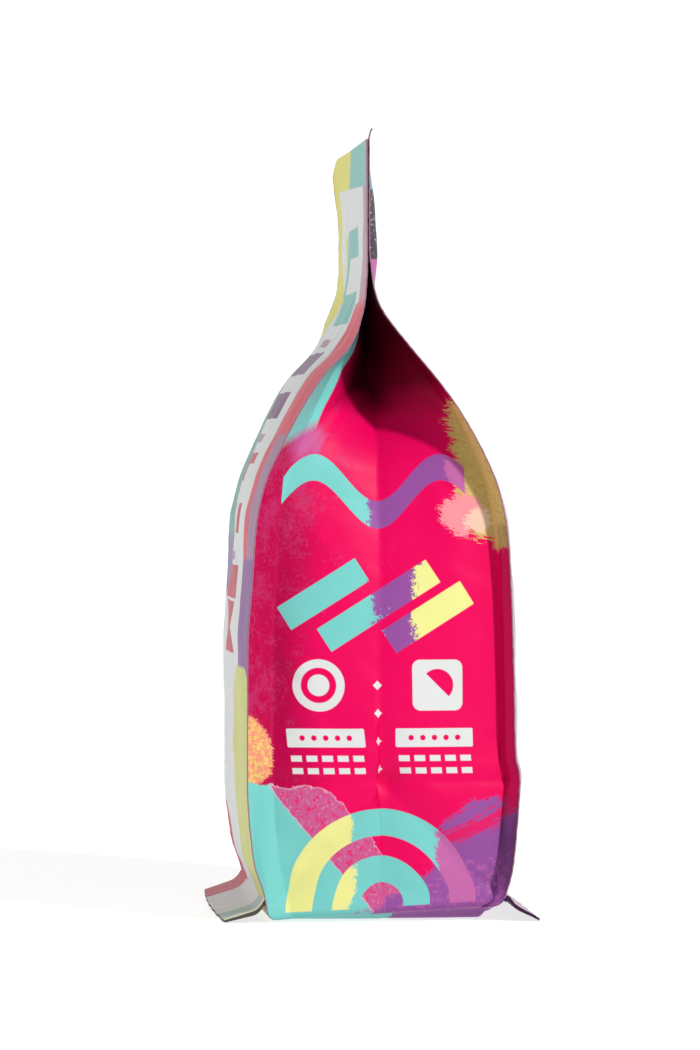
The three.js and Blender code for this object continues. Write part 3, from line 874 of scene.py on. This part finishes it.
def make_tip():
    steps = np.linspace(0, 1, TIP_ROWS)
    outline = [(61.9 + 3.4 * t ** 0.8, 66.7 - 0.4 * t * t, 251 + 4.4 * t) for t in steps]
    grid = []
    for t, (left, right, z) in zip(steps, outline):
        for across in np.linspace(0, 1, TIP_COLUMNS):
            bend = -4.1 + 1.15 * t ** 1.6 + 0.25 * math.sin(across * 3 + t * 4)
            grid.append((left + (right - left) * across, bend, z))
    front_side = np.array(grid)
    back_side = front_side + np.array([0, TIP_PLY, 0])
    number = np.arange(len(front_side)).reshape(TIP_ROWS, TIP_COLUMNS).tolist()
    quads = [(number[r][i], number[r][i + 1], number[r + 1][i + 1], number[r + 1][i])
             for r in range(TIP_ROWS - 1) for i in range(TIP_COLUMNS - 1)]
    rim = [row[0] for row in number] + number[-1][1:]
    rim += [row[-1] for row in number[-2::-1]] + number[0][-2:0:-1]
    shift = len(front_side)
    quads = quads + [tuple(k + shift for k in quad[::-1]) for quad in quads]
    quads += [(a, a + shift, b + shift, b) for a, b in zip(rim, rim[1:] + rim[:1])]
    mesh = bpy.data.meshes.new("tip")
    mesh.from_pydata((np.concatenate([front_side, back_side]) * MM).tolist(), [], quads)
    mesh.materials.append(plain_print("tip_film", ink(128, 124, 126), 0.35))
    mesh.shade_smooth()
    tip = bpy.data.objects.new("tip", mesh)
    bpy.context.scene.collection.objects.link(tip)
    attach(tip, "root")
    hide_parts("bag")


make_tip()


# The studio: a long lens beside the near gusset, a little to the front of it, a key light high at the right, a
# broad fill at the left, and a sweep of white paper under and behind the bag. The paper has a lamp of its own
# and glows a little, as on a light table. Distances are metres.
LENS, DISTANCE, EYE_HEIGHT = 188.57, 1.835, 0.148
AZIMUTH, LOOK_DOWN, LOOK_ASIDE = 85.5, 0.65, 0.153
AIM_HEIGHT = 0.13
FLOOR_NEAR, FLOOR_FAR, SWEEP_SIDE = 4.0, -2.6, 4.0
BEND, WALL_TOP = 0.6, 4.0
PAPER_GLOW, ROOM_LIGHT = 0.76, 0.26


def place_camera():
    data = bpy.data.cameras.new("camera")
    data.lens, data.sensor_width = LENS, 36
    data.clip_start, data.clip_end = 0.1, 20
    camera = bpy.data.objects.new("camera", data)
    azimuth = math.radians(AZIMUTH)
    camera.location = (DISTANCE * math.sin(azimuth), -DISTANCE * math.cos(azimuth), EYE_HEIGHT)
    camera.rotation_euler = (math.radians(90 - LOOK_DOWN), 0, azimuth + math.radians(LOOK_ASIDE))
    bpy.context.scene.collection.objects.link(camera)
    bpy.context.scene.camera = camera


def place_light(name, direction, distance, size, power, aim=None):
    """A round soft lamp in that direction from the bag, turned to the bag unless aim says otherwise."""
    data = bpy.data.lights.new(name, "AREA")
    data.shape, data.size, data.energy = "DISK", size, power
    light = bpy.data.objects.new(name, data)
    toward = Vector(direction).normalized()
    light.location = Vector((0, 0, AIM_HEIGHT)) + toward * distance
    away = -Vector(aim).normalized() if aim else toward
    light.rotation_euler = away.to_track_quat("Z", "Y").to_euler()
    bpy.context.scene.collection.objects.link(light)


place_camera()
place_light("key", (0.705, 0.503, 0.51), 2.0, 0.16, 39.5)
place_light("fill", (0.12, -1, 0.35), 1.8, 1.2, 13.5)
place_light("backdrop", (-2.4, 0, 1.17), 2.67, 0.9, 8, aim=(-1, 0, -0.6))

# The sweep: a floor that turns up into a wall behind the bag
bend = [(FLOOR_FAR - BEND * math.sin(a), BEND - BEND * math.cos(a))
        for a in np.linspace(0, math.pi / 2, 16)[1:]]
side_line = [(FLOOR_NEAR, 0.0), (FLOOR_FAR, 0.0)] + bend + [(FLOOR_FAR - BEND, WALL_TOP)]
sweep_points = [(x, y, z) for x, z in side_line for y in (-SWEEP_SIDE, SWEEP_SIDE)]
sweep_quads = [(2 * i, 2 * i + 1, 2 * i + 3, 2 * i + 2) for i in range(len(side_line) - 1)]
sweep_mesh = bpy.data.meshes.new("sweep")
sweep_mesh.from_pydata(sweep_points, [], sweep_quads)
paper = plain_print("paper", ink(250, 250, 250, 0.36), 0.9)
paper_shader = paper.node_tree.nodes["Principled BSDF"]
paper_shader.inputs["Emission Color"].default_value = (1, 1, 1, 1)
paper_shader.inputs["Emission Strength"].default_value = PAPER_GLOW
sweep_mesh.materials.append(paper)
sweep_mesh.shade_smooth()
floor = bpy.data.objects.new("floor", sweep_mesh)
bpy.context.scene.collection.objects.link(floor)

world = bpy.data.worlds.new("studio")
world.use_nodes = True
world.node_tree.nodes["Background"].inputs["Color"].default_value = (1, 1, 1, 1)
world.node_tree.nodes["Background"].inputs["Strength"].default_value = ROOM_LIGHT
bpy.context.scene.world = world
bpy.context.scene.view_settings.view_transform = "Standard"
